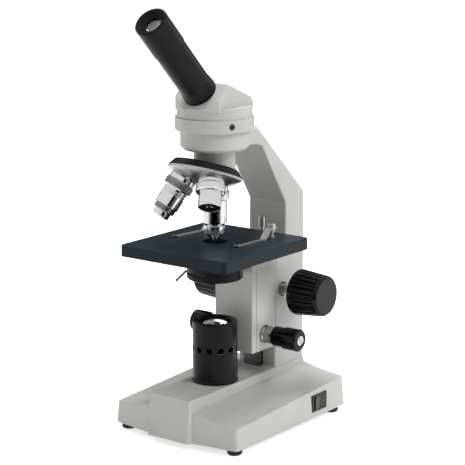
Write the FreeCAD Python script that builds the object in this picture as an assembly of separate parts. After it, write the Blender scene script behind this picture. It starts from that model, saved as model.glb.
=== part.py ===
import FreeCAD, Part

import math
import os

from FreeCAD import Rotation, Vector

# A monocular school microscope. Lengths are in millimetres and angles in degrees.
# The pieces are drawn about the optical axis (X = 0, Y = 0) with the bench at Z = 0,
# the user at -Y, and are moved together at the end so that the origin is the
# centre of the footprint.

# Clearances
slide_gap = 0.1
shaft_gap = 0.05
seat_gap = 0.02
seam_gap = 0.3

# Base casting
foot_height = 5.5
foot_radius = 6.2
foot_inset_side = 8.3
foot_inset_front = 8.0
foot_inset_rear = 11.0
base_half_width = 64.8
base_rear = 104.3
base_draft = 4.0
base_draft_height = 60.0
base_corner_radius = 3.5
base_wall = 3.5
wing_front_outer = -55.0
wing_front_inner = -60.8
wing_front_edge_z = 22.5
wing_front_root_z = 29.3
wing_rear_edge_z = 31.6
wing_rear_root_z = 37.5
wing_root_half_width = 23.3
wing_hollow = 1.6
nose_front = -65.0
spine_half_width = 20.8
plateau_z = 41.4
cover_thickness = 2.0
cover_screw_radius = 2.0
cover_screw_head_radius = 3.7
cover_screw_head = 2.2
cover_screw_slot = 0.8
cover_screw_reach = 8.4
cover_screw_end_room = 0.6
foot_recess = 3.0
foot_rounding = 1.2
cover_boss_radius = 5.5

# Lamp housing and lamp
lamp_radius = 19.0
lamp_wall = 2.0
lamp_flange_radius = 19.8
lamp_flange_height = 2.5
lamp_height = 52.6
lamp_rim_radius = 14.5
lamp_rim_thickness = 4.0
lamp_lens_radius = 12.5
lamp_lens_rise = 4.5
lamp_lens_edge = 2.0
vent_count = 12
vent_radius = 2.65
vent_height = 29.5
vent_azimuth = -37.5
lamp_pad_depth = 8.0
socket_radius = 11.0
socket_height = 14.0
bulb_radius = 8.0
bulb_cap_radius = 6.5
bulb_height = 35.0

# Switch and cable outlet
switch_y = 63.5
switch_z = 17.6
switch_length = 22.0
switch_height = 15.0
switch_bezel = 1.0
switch_bezel_thickness = 1.4
switch_depth = 14.0
rocker_length = 15.0
rocker_height = 11.0
rocker_tilt = 7.0
rocker_pin_radius = 1.0
rocker_pivot_depth = 2.0
rocker_side_room = 0.4
rocker_top_room = 0.35
gland_radius = 6.5
gland_bore = 3.2
gland_flange_radius = 8.5
gland_flange_end = 5.0
gland_flange_thickness = 2.6
gland_seat_depth = 1.8
gland_x = -32.0
gland_z = 18.0

# Arm casting
arm_half_width = 19.65
arm_edge_radius = 1.5
column_front = 60.3
column_rear = 102.4
ledge_z = 150.0
upper_column_front = 74.5
arm_front_bend_z = 185.9
arm_rear_bend_z = 191.5
arm_throat_y = 40.2
arm_throat_z = 239.3
arm_top_y = 33.8
arm_ring_radius = 28.5
arm_ring_bottom = 241.0
arm_ring_top = 256.7
ring_bevel = 2.2
neck_radius = 17.5
light_bore = 5.0
arm_pad_depth = 14.0
arm_bolt_head_radius = 5.0
arm_bolt_head = 4.0
arm_bolt_socket = 2.9
arm_bolt_shoulder = 14.0
arm_bolt_length = 28.0
arm_bolt_radius = 3.0
arm_bolt_spacing = 24.0

# Coarse focus
guide_half_width = 9.0
guide_neck_half_width = 6.4
guide_front = 53.3
guide_shoulder = 57.0
guide_pocket = 3.0
guide_end_clearance = 0.5
coarse_y = 70.1
coarse_z = 110.0
coarse_shaft_radius = 3.0
pinion_module = 0.8
pinion_teeth = 12
pinion_width = 8.0
pressure_angle = 20.0
tooth_backlash = 0.18
coarse_up = 0.6
coarse_down = 16.0
rack_half_width = 3.6
coarse_nut_radius = 6.5
coarse_nut_end = 24.0
coarse_bush_shank = 5.0
coarse_bush_depth = 8.0
rack_run_out = 11.0
rack_drop_clearance = 2.0
rack_back_depth = 2.0
coarse_knob_start = 36.8
coarse_knob_end = 66.2
coarse_knob_cap = 0.8
coarse_knob_inner_radius = 20.0
coarse_knob_outer_radius = 17.6
coarse_flutes = 24
coarse_flute_radius = 1.5

# Focus block and fine focus
block_front = 32.9
block_rear = 60.0
block_bottom = 61.0
block_top = 146.2
fine_y = 44.7
fine_z = 75.0
fine_shaft_radius = 2.5
fine_bush_radius = 8.0
fine_bush_end = 30.6
fine_knob_start = 31.0
fine_knob_step = 42.2
fine_knob_end = 56.7
fine_knob_small_radius = 8.5
fine_knob_large_radius = 9.5
fine_screw_radius = 4.2
fine_travel = 0.9
wedge_slope = 0.2
wedge_half_length = 6.0
wedge_half_height = 4.8
wedge_front = 38.0
wedge_rear_wall = 1.5
wedge_end_room = 0.6
fine_shank = 5.0
fine_bush_depth = 6.0
tongue_half_width = 4.0
tongue_length = 14.0
tongue_height = 11.0
tongue_side_room = 0.3
tongue_drop_clearance = 0.5
tongue_top_room = 2.0
key_low = 92.0
key_front_half_width = 5.0
key_rear_half_width = 8.0
key_depth = 4.0
key_neck = 0.5

# Stage and its carrier
carrier_front = 26.0
carrier_rear = 32.5
flange_half_width = 25.0
flange_rear = 57.0
flange_thickness = 5.0
stage_half_width = 55.0
stage_half_depth = 59.0
stage_centre_y = 0.5
stage_top = 162.2
stage_thickness = 9.8
stage_corner_radius = 4.0
stage_hole_radius = 10.2
accessory_x = 20.0
accessory_y = 50.0
accessory_radius = 1.6
locator_y = 52.7
locator_radius = 1.2
stage_screw_radius = 1.5
stage_screw_head = 2.8
stage_screw_seat = 2.0
stage_screw_length = 8.0
stage_screw_x = 15.0
stage_screw_inset = 5.0
stage_edge_rounding = 1.2

# Condenser and iris
condenser_radius = 23.75
condenser_height = 21.6
condenser_wall = 2.4
condenser_lens_radius = 9.8
condenser_lens_edge = 7.5
condenser_lens_rise = 4.5
iris_floor = 2.4
iris_window = 12.5
leaf_count = 5
leaf_path_radius = 17.0
leaf_half_width = 2.6
leaf_span = 150.0
leaf_thickness = 0.15
leaf_pin_radius = 0.7
leaf_tilt = 2.4
# A leaf turns until its drive pin has crossed the line from the pivot and gone a little further
leaf_over_swing = 4.0
leaf_swing = 180 - leaf_span + leaf_over_swing
lever_direction = 217.0
lever_reach = 27.5
lever_drop = 8.0
lever_rod_radius = 0.9
lever_bend_reach = 1.6
lever_ring_rise = 2.4
lever_ring_thickness = 1.2
lever_slot_room = 0.45
lever_side_room = 6.0

# Slide clips
clip_post_x = 31.0
clip_post_y = 38.0
clip_post_radius = 2.0
clip_head_radius = 3.4
clip_head_height = 3.6
clip_height = 8.2
clip_thickness = 0.8
clip_width = 6.4
clip_riser_run = 7.0
clip_tip_right = (28.6, -9.0)
clip_tip_left = (-36.0, -10.0)

# Limit stop screw
stop_y = 67.2
stop_radius = 1.8
stop_head_radius = 3.1
stop_head_bottom = 163.0
stop_head_top = 172.5

# Nosepiece and objectives
turret_tilt = 20.0
apex_z = 257.7
shell_radius = 49.7
shell_thickness = 3.0
rim_radius = 31.0
rim_lip = 1.85
rim_height = 6.0
rim_low = math.sqrt(shell_radius ** 2 - rim_radius ** 2) - rim_lip
rim_high = rim_low - rim_height
rim_top_radius = 26.5
rim_web = 2.5
rim_light_room = 0.2
axle_radius = 3.5
axle_root = 25.0
axle_head_radius = 6.3
objective_count = 3
thread_radius = 9.2
thread_length = 4.0
objective_flange_radius = 11.2
seat_depth = 1.3
click_half_width = 2.5
click_azimuth = 225.0
low_length = 22.0
mid_length = 36.0
high_length = 44.0
nose_travel = 1.6
high_shoulder = 30.0
high_guide_radius = 6.5
high_nose_radius = 8.75
high_tip_radius = 3.2
low_bore = 4.6
mid_bore = 3.4
high_window_radius = 2.0

# Head and eyepiece
head_bottom = 257.0
band_radius = 32.8
band_top = 268.0
drum_radius = 31.25
drum_top = 277.0
prism_block_radius = 32.5
prism_block_half_width = 22.5
ridge_y = -11.6
roof_rear_y = 20.0
roof_rear_z = 283.6
spigot_radius = 22.0
spigot_length = 7.7
head_screw_azimuth = -26.4
head_screw_z = 262.9
head_screw_radius = 2.2
head_screw_seat = 3.0
prism_half_width = 9.0
prism_exit = 10.0
prism_low_z = 262.0
prism_outline = [(-8.0, prism_low_z), (8.0, prism_low_z), (8.0, 279.0), (1.5, 286.0421), (-13.5, 271.0421)]
tube_tilt = 45.0
tube_origin_z = 270.4
tube_radius = 13.2
tube_collar_radius = 14.25
tube_bore = 11.6
tube_start = 27.0
tube_thread_start = 18.0
tube_thread_radius = 12.6
tube_end = 83.0
eyepiece_radius = 13.75
eyepiece_end = 115.0
eyepiece_travel = 35.0
eyepiece_insert = eyepiece_travel + 5.0
eye_lens_radius = 7.0
eye_lens_depth = 4.0
eye_lens_room = 3.5
eyepiece_sleeve_wall = 1.2

# Derived places
tube_direction = Vector(0, -math.sin(math.radians(tube_tilt)), math.cos(math.radians(tube_tilt)))
tube_origin = Vector(0, 0, tube_origin_z)
eyepiece_reach = (eyepiece_end * math.sin(math.radians(tube_tilt))
                  + eyepiece_radius * math.cos(math.radians(tube_tilt)))
optical_axis_y = (eyepiece_reach - base_rear - gland_flange_end) / 2
ridge_z = tube_origin_z + tube_start / math.cos(math.radians(tube_tilt)) + ridge_y
apex = Vector(0, 0, apex_z)
turret_axis = Vector(0, -math.sin(math.radians(turret_tilt)), -math.cos(math.radians(turret_tilt)))
stage_bottom = stage_top - stage_thickness
flange_bottom = stage_bottom - flange_thickness
# The guide ends below the lowest place of the carrier's flange
guide_top = flange_bottom - coarse_down - fine_travel - guide_end_clearance
lamp_top = plateau_z + lamp_height
cover_top = foot_height + cover_thickness
bulb_top = plateau_z + bulb_height
switch_face_x = base_half_width - 1.4
rocker_pivot_x = switch_face_x - rocker_pivot_depth
# The rear wall leans in with its draft, so the gland seats on a flat cut just inside it
gland_seat_y = base_rear - gland_seat_depth
pinion_pitch_radius = pinion_module * pinion_teeth / 2
pinion_outer_radius = pinion_pitch_radius + pinion_module
rack_root_y = guide_front - slide_gap - rack_back_depth
rack_low = coarse_z - coarse_up - rack_run_out
rack_high = coarse_z + coarse_down + rack_run_out
rack_pitch_y = coarse_y - pinion_pitch_radius
rack_addendum = 0.75 * pinion_module
rack_dedendum = 1.25 * pinion_module
pitch = math.pi * pinion_module
wedge_rear = fine_y + fine_shaft_radius + wedge_rear_wall
wedge_room = wedge_half_length + fine_travel / wedge_slope + wedge_end_room
tongue_top = fine_z + tongue_height
nose_start = high_shoulder + nose_travel + seam_gap
head_screw_axis = Rotation(Vector(0, 0, 1), head_screw_azimuth).multVec(Vector(1, 0, 0))
head_screw_centre = Vector(0, 0, head_screw_z)
condenser_bottom = stage_bottom - condenser_height
iris_floor_top = condenser_bottom + iris_floor
lever_ring_low = iris_floor_top + lever_ring_rise
iris_ceiling = lever_ring_low + lever_ring_thickness + seam_gap
iris_room_radius = condenser_radius - condenser_wall
condenser_lens_seat = iris_ceiling + 5.0
lever_bend_radius = condenser_radius + lever_bend_reach
leaf_pivot = Vector(leaf_path_radius, 0, 0)


def cylinder(radius, low, high, x=0.0, y=0.0):
    return Part.makeCylinder(radius, high - low, Vector(x, y, low))


def tube(outer, inner, low, high, x=0.0, y=0.0):
    return cylinder(outer, low, high, x, y).cut(cylinder(inner, low - 1, high + 1, x, y))


def cross_cylinder(radius, start_x, end_x, y, z):
    return Part.makeCylinder(radius, end_x - start_x, Vector(start_x, y, z), Vector(1, 0, 0))


def block(x_low, x_high, y_low, y_high, z_low, z_high):
    corner = Vector(x_low, y_low, z_low)
    return Part.makeBox(x_high - x_low, y_high - y_low, z_high - z_low, corner)


def turned(profile):
    """A solid of revolution about Z from (radius, height) corners."""
    corners = [Vector(radius, 0, height) for radius, height in profile]
    face = Part.Face(Part.makePolygon(corners + corners[:1]))
    return face.revolve(Vector(0, 0, 0), Vector(0, 0, 1), 360)


def side_profile(points, half_width):
    """A prism along X, centred on X = 0, from (y, z) corners."""
    corners = [Vector(-half_width, y, z) for y, z in points]
    face = Part.Face(Part.makePolygon(corners + corners[:1]))
    return face.extrude(Vector(2 * half_width, 0, 0))


def plan_profile(points, low, high):
    corners = [Vector(x, y, low) for x, y in points]
    face = Part.Face(Part.makePolygon(corners + corners[:1]))
    return face.extrude(Vector(0, 0, high - low))


def aimed(shape, start, direction):
    """The shape with its own Z axis laid along direction from start."""
    moved = shape.copy()
    turn = Rotation(Vector(0, 0, 1), direction)
    moved.Placement = FreeCAD.Placement(start, turn).multiply(moved.Placement)
    return moved


def turned_copy(shape, angle, centre=Vector(0, 0, 0), axis=Vector(0, 0, 1)):
    copy = shape.copy()
    copy.rotate(centre, axis, angle)
    return copy


def moved_copy(shape, x=0.0, y=0.0, z=0.0):
    copy = shape.copy()
    copy.translate(Vector(x, y, z))
    return copy


def mirrored_x(shape):
    return shape.mirror(Vector(0, 0, 0), Vector(1, 0, 0))


def fused(shapes):
    whole = shapes[0]
    for shape in shapes[1:]:
        whole = whole.fuse(shape)
    return whole.removeSplitter()


def cut_all(shape, tools):
    for tool in tools:
        shape = shape.cut(tool)
    return shape


def group(shapes):
    return Part.makeCompound(shapes)


def slotted_head(radius, low, high, slot_width, slot_depth):
    head = cylinder(radius, low, high)
    slot = block(-radius - 1, radius + 1, -slot_width / 2, slot_width / 2, high - slot_depth, high + 1)
    return head.cut(slot)


# Base casting and what is fixed to it

def wing_section(y, edge_z, root_z, inset):
    """The cross-section of both wings at one Y, their tops slightly hollow."""
    half = base_half_width + 5 - inset
    root = wing_root_half_width
    low = foot_height
    top = -inset
    middle_x = (half + root) / 2
    middle_z = (edge_z + root_z) / 2 - wing_hollow
    right_edge = Vector(half, y, edge_z + top)
    right_root = Vector(root, y, root_z + top)
    left_edge = Vector(-half, y, edge_z + top)
    left_root = Vector(-root, y, root_z + top)
    edges = [
        Part.makeLine(Vector(-half, y, low - 1), Vector(half, y, low - 1)),
        Part.makeLine(Vector(half, y, low - 1), right_edge),
        Part.Arc(right_edge, Vector(middle_x, y, middle_z + top), right_root).toShape(),
        Part.makeLine(right_root, left_root),
        Part.Arc(left_root, Vector(-middle_x, y, middle_z + top), left_edge).toShape(),
        Part.makeLine(left_edge, Vector(-half, y, low - 1)),
    ]
    return Part.Wire(edges)


def drafted_prism(points, low, high, draft, radius):
    """A closed outline drawn in by the draft angle towards its top, corners rounded."""
    rise = high - low
    shrink = rise * math.tan(math.radians(draft))
    xs = [x for x, _ in points]
    ys = [y for _, y in points]
    half = max(xs)
    middle_y = (max(ys) + min(ys)) / 2
    half_depth = (max(ys) - min(ys)) / 2
    scale_x = (half - shrink) / half
    scale_y = (half_depth - shrink) / half_depth
    bottom = [Vector(x, y, low) for x, y in points]
    top = [Vector(x * scale_x, middle_y + (y - middle_y) * scale_y, high) for x, y in points]
    solid = Part.makeLoft([Part.makePolygon(bottom + bottom[:1]), Part.makePolygon(top + top[:1])],
                          True, True)
    if radius > 0:
        corners = []
        for edge in solid.Edges:
            ends = edge.Vertexes
            steep = abs(ends[0].Z - ends[1].Z) > rise / 2
            outer = min(abs(ends[0].X), abs(ends[1].X)) > half * 0.85 * scale_x
            if steep and outer:
                corners.append(edge)
        solid = solid.makeFillet(radius, corners)
    return solid


def base_form(inset, low, radius):
    """The outside of the base for inset 0, or the hollow inside its wall."""
    half = base_half_width - inset
    rear = base_rear - inset
    wings = Part.makeLoft([wing_section(nose_front - 10, wing_front_edge_z, wing_front_root_z, inset),
                           wing_section(base_rear + 10, wing_rear_edge_z, wing_rear_root_z, inset)],
                          True, True)
    outline = [(-half, wing_front_outer + inset), (-wing_root_half_width, wing_front_inner + inset),
               (wing_root_half_width, wing_front_inner + inset), (half, wing_front_outer + inset),
               (half, rear), (-half, rear)]
    wings = wings.common(drafted_prism(outline, low, low + base_draft_height, base_draft, radius))
    spine = spine_half_width - inset
    root = wing_root_half_width - inset
    top_z = plateau_z - inset
    front_top = nose_front + inset + (top_z - low) * math.tan(math.radians(base_draft + 1.5))
    rear_top = rear - (top_z - low) * math.tan(math.radians(base_draft))
    front_low = nose_front + inset
    lower = [Vector(-spine, front_low, low), Vector(spine, front_low, low),
             Vector(root, wing_front_inner + inset, low), Vector(root, rear, low),
             Vector(-root, rear, low), Vector(-root, wing_front_inner + inset, low)]
    upper = [Vector(-spine, front_top, top_z), Vector(spine, front_top, top_z),
             Vector(spine, front_top + 1, top_z), Vector(spine, rear_top, top_z),
             Vector(-spine, rear_top, top_z), Vector(-spine, front_top + 1, top_z)]
    ridge = Part.makeLoft([Part.makePolygon(lower + lower[:1]), Part.makePolygon(upper + upper[:1])],
                          True, True)
    return wings.fuse(ridge).removeSplitter()


def foot_places():
    x = base_half_width - foot_inset_side
    front = wing_front_outer + foot_inset_front
    rear = base_rear - foot_inset_rear
    return [(-x, front), (x, front), (-x, rear), (x, rear)]


def base_casting():
    shell = base_form(0.0, foot_height, base_corner_radius)
    hollow = base_form(base_wall, foot_height - 0.5, 0)
    # Posts for the cover screws, and the pads under the arm and the lamp
    posts = [cylinder(cover_boss_radius, cover_top, foot_top_z(y), x, y) for x, y in foot_places()]
    pad_low = plateau_z - arm_pad_depth
    arm_pad = block(-arm_half_width, arm_half_width, column_front, column_rear, pad_low, plateau_z)
    lamp_pad = cylinder(lamp_radius, plateau_z - lamp_pad_depth, plateau_z)
    inside = fused([arm_pad, lamp_pad] + posts).common(shell)
    casting = shell.cut(hollow).fuse(inside)
    screw_end = cover_top + cover_screw_reach + cover_screw_end_room
    cutters = [cylinder(cover_screw_radius, cover_top - 1, screw_end, x, y) for x, y in foot_places()]
    cutters += [cylinder(arm_bolt_radius + seat_gap, pad_low - 1, plateau_z + 1, 0, y) for y in arm_bolt_ys()]
    cutters.append(cylinder(socket_radius + seat_gap, pad_low, plateau_z + 1))
    outward = base_half_width + 1
    cutters.append(switch_block(base_half_width - 12, outward, -switch_bezel))
    # Flat for the switch bezel in the drafted side
    cutters.append(switch_block(switch_face_x, outward, seat_gap))
    cutters.append(rearward_cylinder(gland_radius + seat_gap, base_rear - 12))
    cutters.append(rearward_cylinder(gland_flange_radius + seat_gap, gland_seat_y))
    return cut_all(casting, cutters).removeSplitter()


def switch_block(x_low, x_high, margin):
    """A block on the switch's outline, grown or shrunk all round by a margin."""
    half_y = switch_length / 2 + margin
    half_z = switch_height / 2 + margin
    return block(x_low, x_high, switch_y - half_y, switch_y + half_y, switch_z - half_z, switch_z + half_z)


def rearward_cylinder(radius, start_y):
    """A cylinder on the gland's line, out through the rear wall."""
    return Part.makeCylinder(radius, 20, Vector(gland_x, start_y, gland_z), Vector(0, 1, 0))


def foot_top_z(y):
    """Height of the inside of the wing over a foot, where its post ends."""
    share = (y - wing_front_outer) / (base_rear - wing_front_outer)
    return wing_front_edge_z + share * (wing_rear_edge_z - wing_front_edge_z) - 1.0


def arm_bolt_ys():
    middle = (column_front + column_rear) / 2
    return [middle - arm_bolt_spacing / 2, middle + arm_bolt_spacing / 2]


def base_cover():
    """The bottom plate, let into the open underside of the casting."""
    inset = base_wall + seam_gap
    half = base_half_width - inset
    rear = base_rear - inset
    root = wing_root_half_width - inset
    spine = spine_half_width - inset
    front = nose_front + inset
    right = [(spine, front), (root, wing_front_inner + inset), (half, wing_front_outer + inset), (half, rear)]
    outline = right + [(-x, y) for x, y in reversed(right)]
    plate = plan_profile(outline, foot_height, cover_top)
    for x, y in foot_places():
        plate = plate.cut(cylinder(cover_screw_radius + seat_gap, 0, 20, x, y))
    return plate


def rubber_feet():
    foot = turned([(0, 0), (foot_radius - foot_rounding, 0), (foot_radius, foot_rounding),
                   (foot_radius, foot_height), (0, foot_height)])
    foot = foot.cut(cylinder(cover_screw_head_radius + seam_gap, -1, foot_recess))
    foot = foot.cut(cylinder(cover_screw_radius + seat_gap, 0, foot_height + 1))
    return group([moved_copy(foot, x, y) for x, y in foot_places()])


def cover_screws():
    low = foot_recess - cover_screw_head
    half = cover_screw_slot / 2
    slot = block(-cover_screw_head_radius, cover_screw_head_radius, -half, half, low, low + cover_screw_slot)
    head = cylinder(cover_screw_head_radius, low, foot_recess).cut(slot)
    screw = head.fuse(cylinder(cover_screw_radius - seat_gap, foot_recess, cover_top + cover_screw_reach))
    return group([moved_copy(screw, x, y) for x, y in foot_places()])


def lamp_housing():
    inner = lamp_radius - lamp_wall
    low = plateau_z
    lens_top = lamp_top - lamp_rim_thickness
    lens_low = lens_top - lamp_lens_edge
    ledge = lamp_lens_radius - 1.5
    flange_top = low + lamp_flange_height
    shell = turned([(inner, low), (lamp_flange_radius, low), (lamp_flange_radius, flange_top - 1),
                    (lamp_radius, flange_top), (lamp_radius, lamp_top - 0.8),
                    (lamp_radius - 0.8, lamp_top), (lamp_rim_radius + 1.2, lamp_top),
                    (lamp_rim_radius, lamp_top - 1.2), (lamp_rim_radius, lens_top),
                    (lamp_lens_radius + seat_gap, lens_top), (lamp_lens_radius + seat_gap, lens_low),
                    (ledge, lens_low), (ledge, lens_low - 1.5), (inner, lens_low - 1.5)])
    reach = lamp_radius + 10
    vents = []
    for index in range(vent_count // 2):
        vent = cross_cylinder(vent_radius, -reach, reach, 0, plateau_z + vent_height)
        vents.append(turned_copy(vent, vent_azimuth + index * 360 / vent_count))
    return cut_all(shell, vents)


def dome(radius, edge, rise, base_z):
    """A plano-convex lens, flat below, with a cylindrical edge."""
    ball_radius = (radius ** 2 + rise ** 2) / (2 * rise)
    ball = Part.makeSphere(ball_radius, Vector(0, 0, base_z + edge + rise - ball_radius))
    return ball.common(cylinder(radius, base_z, base_z + edge + rise + 1))


def lamp_lens():
    seat_z = lamp_top - lamp_rim_thickness - lamp_lens_edge
    return dome(lamp_lens_radius, lamp_lens_edge, lamp_lens_rise, seat_z)


def lamp_socket():
    low = plateau_z - lamp_pad_depth
    body = turned([(0, low), (socket_radius, low), (socket_radius, plateau_z),
                   (socket_radius + 2, plateau_z), (socket_radius + 2, plateau_z + 2),
                   (socket_radius - 1, plateau_z + 2), (socket_radius - 1, plateau_z + socket_height),
                   (0, plateau_z + socket_height)])
    return body.cut(cylinder(bulb_cap_radius + seat_gap, plateau_z + 2, plateau_z + socket_height + 1))


def lamp_bulb():
    """A capsule bulb: a metal cap and a straight glass with a blunt end."""
    cap_top = plateau_z + socket_height + 1
    return turned([(0, plateau_z + 2), (bulb_cap_radius, plateau_z + 2), (bulb_cap_radius, cap_top),
                   (bulb_cap_radius - 1, cap_top), (bulb_radius, cap_top + 4), (bulb_radius, bulb_top - 4),
                   (bulb_radius - 2, bulb_top - 1), (bulb_radius - 4, bulb_top), (0, bulb_top)])


def switch_housing():
    """The rocker's frame, snapped into the right side of the base."""
    face_x = switch_face_x
    body = switch_block(face_x - switch_depth, face_x, -switch_bezel - seat_gap)
    bezel = switch_block(face_x, face_x + switch_bezel_thickness, 0)
    bezel = bezel.makeFillet(0.6, bezel.Edges)
    half_y = rocker_length / 2 + rocker_side_room
    half_z = rocker_height / 2 + rocker_top_room
    opening = block(face_x - 6.5, face_x + 5, switch_y - half_y, switch_y + half_y, switch_z - half_z,
                    switch_z + half_z)
    pin_reach = rocker_height / 2 + 0.8
    pin_hole = cylinder(rocker_pin_radius + shaft_gap, switch_z - pin_reach, switch_z + pin_reach,
                        rocker_pivot_x, switch_y)
    return body.fuse(bezel).removeSplitter().cut(opening).cut(pin_hole)


def switch_rocker():
    """A two-slope paddle on a vertical pin, one end pressed in."""
    half = rocker_length / 2
    face = rocker_pivot_x + 3.2
    paddle = plan_profile([(rocker_pivot_x - 1.8, switch_y - half + 0.8), (face + 0.7, switch_y - half),
                           (face, switch_y), (face + 0.7, switch_y + half),
                           (rocker_pivot_x - 1.8, switch_y + half - 0.8)],
                          switch_z - rocker_height / 2, switch_z + rocker_height / 2)
    pin_reach = rocker_height / 2 + 0.7
    pin = cylinder(rocker_pin_radius, switch_z - pin_reach, switch_z + pin_reach, rocker_pivot_x, switch_y)
    paddle = paddle.fuse(pin).removeSplitter()
    paddle.rotate(Vector(rocker_pivot_x, switch_y, 0), Vector(0, 0, 1), rocker_tilt / 2)
    return paddle


def cable_gland():
    end = base_rear + gland_flange_end - gland_seat_y
    bush = turned([(gland_bore, -7.0), (gland_radius, -7.0), (gland_radius, 0), (gland_flange_radius, 0),
                   (gland_flange_radius, gland_flange_thickness), (gland_radius - 1.2, end),
                   (gland_bore, end)])
    return aimed(bush, Vector(gland_x, gland_seat_y, gland_z), Vector(0, 1, 0))


# Arm and what is fixed to it

def turret_space(height, radius):
    """A cylinder about the nosepiece axis, from a distance below the apex downwards."""
    return Part.makeCylinder(radius, 60, apex + turret_axis * height, turret_axis)


def side_edges(solid, half_width, low):
    """The edges round a solid's two side faces, above its seat."""
    return [edge for edge in solid.Edges
            if abs(edge.BoundBox.XMin - edge.BoundBox.XMax) < 0.001
            and abs(abs(edge.BoundBox.XMin) - half_width) < 0.001
            and edge.BoundBox.ZMax > low + 0.001]


def arm_casting():
    profile = [(column_front, plateau_z), (column_front, ledge_z), (upper_column_front, ledge_z),
               (upper_column_front, arm_front_bend_z), (arm_throat_y, arm_throat_z),
               (arm_throat_y - 8, arm_ring_bottom + 1), (0, arm_ring_bottom + 1), (0, arm_ring_top),
               (arm_top_y, arm_ring_top), (column_rear, arm_rear_bend_z), (column_rear, plateau_z)]
    limb = side_profile(profile, arm_half_width)
    limb = limb.makeFillet(arm_edge_radius, side_edges(limb, arm_half_width, plateau_z))
    ring = turned([(0, arm_ring_bottom), (arm_ring_radius - ring_bevel, arm_ring_bottom),
                   (arm_ring_radius, arm_ring_bottom + ring_bevel), (arm_ring_radius, arm_ring_top),
                   (0, arm_ring_top)])
    neck = cylinder(neck_radius, arm_ring_bottom - 30, arm_ring_bottom + 2)
    neck = neck.cut(turret_space(rim_high - seam_gap, 60))
    arm = fused([limb, ring, neck])
    bush_start = arm_half_width - coarse_bush_depth
    bush_end = arm_half_width + 1
    cutters = [
        cylinder(spigot_radius + shaft_gap, head_bottom - spigot_length - seam_gap, arm_ring_top + 1),
        cylinder(light_bore, arm_ring_bottom - 40, arm_ring_top),
        Part.makeCylinder(axle_radius + seat_gap, 20, apex + turret_axis * axle_root, turret_axis),
        block(-guide_neck_half_width - seat_gap, guide_neck_half_width + seat_gap, column_front - 1,
              column_front + guide_pocket, plateau_z, guide_top + seat_gap),
        block(-6.5, 6.5, column_front - 1, coarse_y + pinion_outer_radius + 1.2, coarse_z - 30,
              coarse_z + 30),
        cross_cylinder(coarse_shaft_radius + shaft_gap, -bush_end, bush_end, coarse_y, coarse_z),
        cross_cylinder(coarse_bush_shank + seat_gap, bush_start, bush_end, coarse_y, coarse_z),
        cross_cylinder(coarse_bush_shank + seat_gap, -bush_end, -bush_start, coarse_y, coarse_z),
        cylinder(stop_radius + shaft_gap, coarse_z + 29, ledge_z + 1, 0, stop_y),
        click_groove(),
    ]
    cutters += [cylinder(arm_bolt_radius - 0.5 + seat_gap, plateau_z - 1, plateau_z + 16, 0, y)
                for y in arm_bolt_ys()]
    return cut_all(arm, cutters).removeSplitter()


def arm_bolts():
    head = Part.makeCylinder(arm_bolt_head_radius, arm_bolt_head).cut(
        hexagon(arm_bolt_socket, -1, arm_bolt_head * 0.6))
    shank = cylinder(arm_bolt_radius, arm_bolt_head, arm_bolt_shoulder).fuse(
        cylinder(arm_bolt_radius - 0.5, arm_bolt_shoulder, arm_bolt_length))
    bolt = head.fuse(shank).removeSplitter()
    return group([moved_copy(bolt, 0, y, plateau_z - arm_pad_depth - arm_bolt_head) for y in arm_bolt_ys()])


def hexagon(apothem, low, high):
    reach = apothem / math.cos(math.pi / 6)
    corners = [(reach * math.cos(math.radians(60 * n)), reach * math.sin(math.radians(60 * n)))
               for n in range(6)]
    return plan_profile(corners, low, high)


def guide_rail():
    """The dovetail that the focus block runs on, slotted for the rack."""
    back = column_front + guide_pocket
    outline = [(-guide_half_width, guide_front), (guide_half_width, guide_front),
               (guide_neck_half_width, guide_shoulder), (guide_neck_half_width, back),
               (-guide_neck_half_width, back), (-guide_neck_half_width, guide_shoulder)]
    rail = plan_profile(outline, plateau_z, guide_top)
    slot_half = rack_half_width + 0.4
    slot = block(-slot_half, slot_half, guide_front - 1, back + 1,
                 rack_low - coarse_down - rack_drop_clearance, guide_top + 1)
    return rail.cut(slot)


def coarse_bushes():
    start = arm_half_width - coarse_bush_depth + 0.5
    bush = turned([(coarse_shaft_radius + shaft_gap, start), (coarse_bush_shank, start),
                   (coarse_bush_shank, arm_half_width),
                   (coarse_nut_radius, arm_half_width), (coarse_nut_radius, coarse_nut_end - 0.6),
                   (coarse_nut_radius - 0.6, coarse_nut_end),
                   (coarse_shaft_radius + shaft_gap, coarse_nut_end)])
    for angle in range(0, 360, 60):
        notch = block(coarse_nut_radius - 1.2, coarse_nut_radius + 1, -0.9, 0.9, arm_half_width + 1.4,
                      coarse_nut_end + 1)
        bush = bush.cut(turned_copy(notch, angle + 15))
    right = aimed(bush, Vector(0, coarse_y, coarse_z), Vector(1, 0, 0))
    return group([right, mirrored_x(right)])


def stop_screw():
    shank = cylinder(stop_radius, coarse_z + 32, stop_head_bottom)
    head = slotted_head(stop_head_radius, stop_head_bottom, stop_head_top, 0.9, 1.4)
    return moved_copy(shank.fuse(head).removeSplitter(), 0, stop_y)


def nosepiece_axle():
    head_low = shell_radius - 2.6
    profile = [(0, axle_root), (axle_radius, axle_root), (axle_radius, head_low),
               (axle_head_radius, head_low), (axle_head_radius, head_low + 1.6),
               (axle_head_radius - 0.6, head_low + 2.2), (0, head_low + 2.2)]
    pin = turned(profile)
    pin = pin.cut(block(-9, 9, -0.6, 0.6, head_low + 1.2, head_low + 4))
    return aimed(pin, apex, turret_axis)


def click_groove():
    groove = block(8.0, 30.0, -click_half_width - 0.2, click_half_width + 0.2, rim_high - 2.0, rim_high + 2)
    return aimed(turned_copy(groove, click_azimuth), apex, turret_axis)


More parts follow.
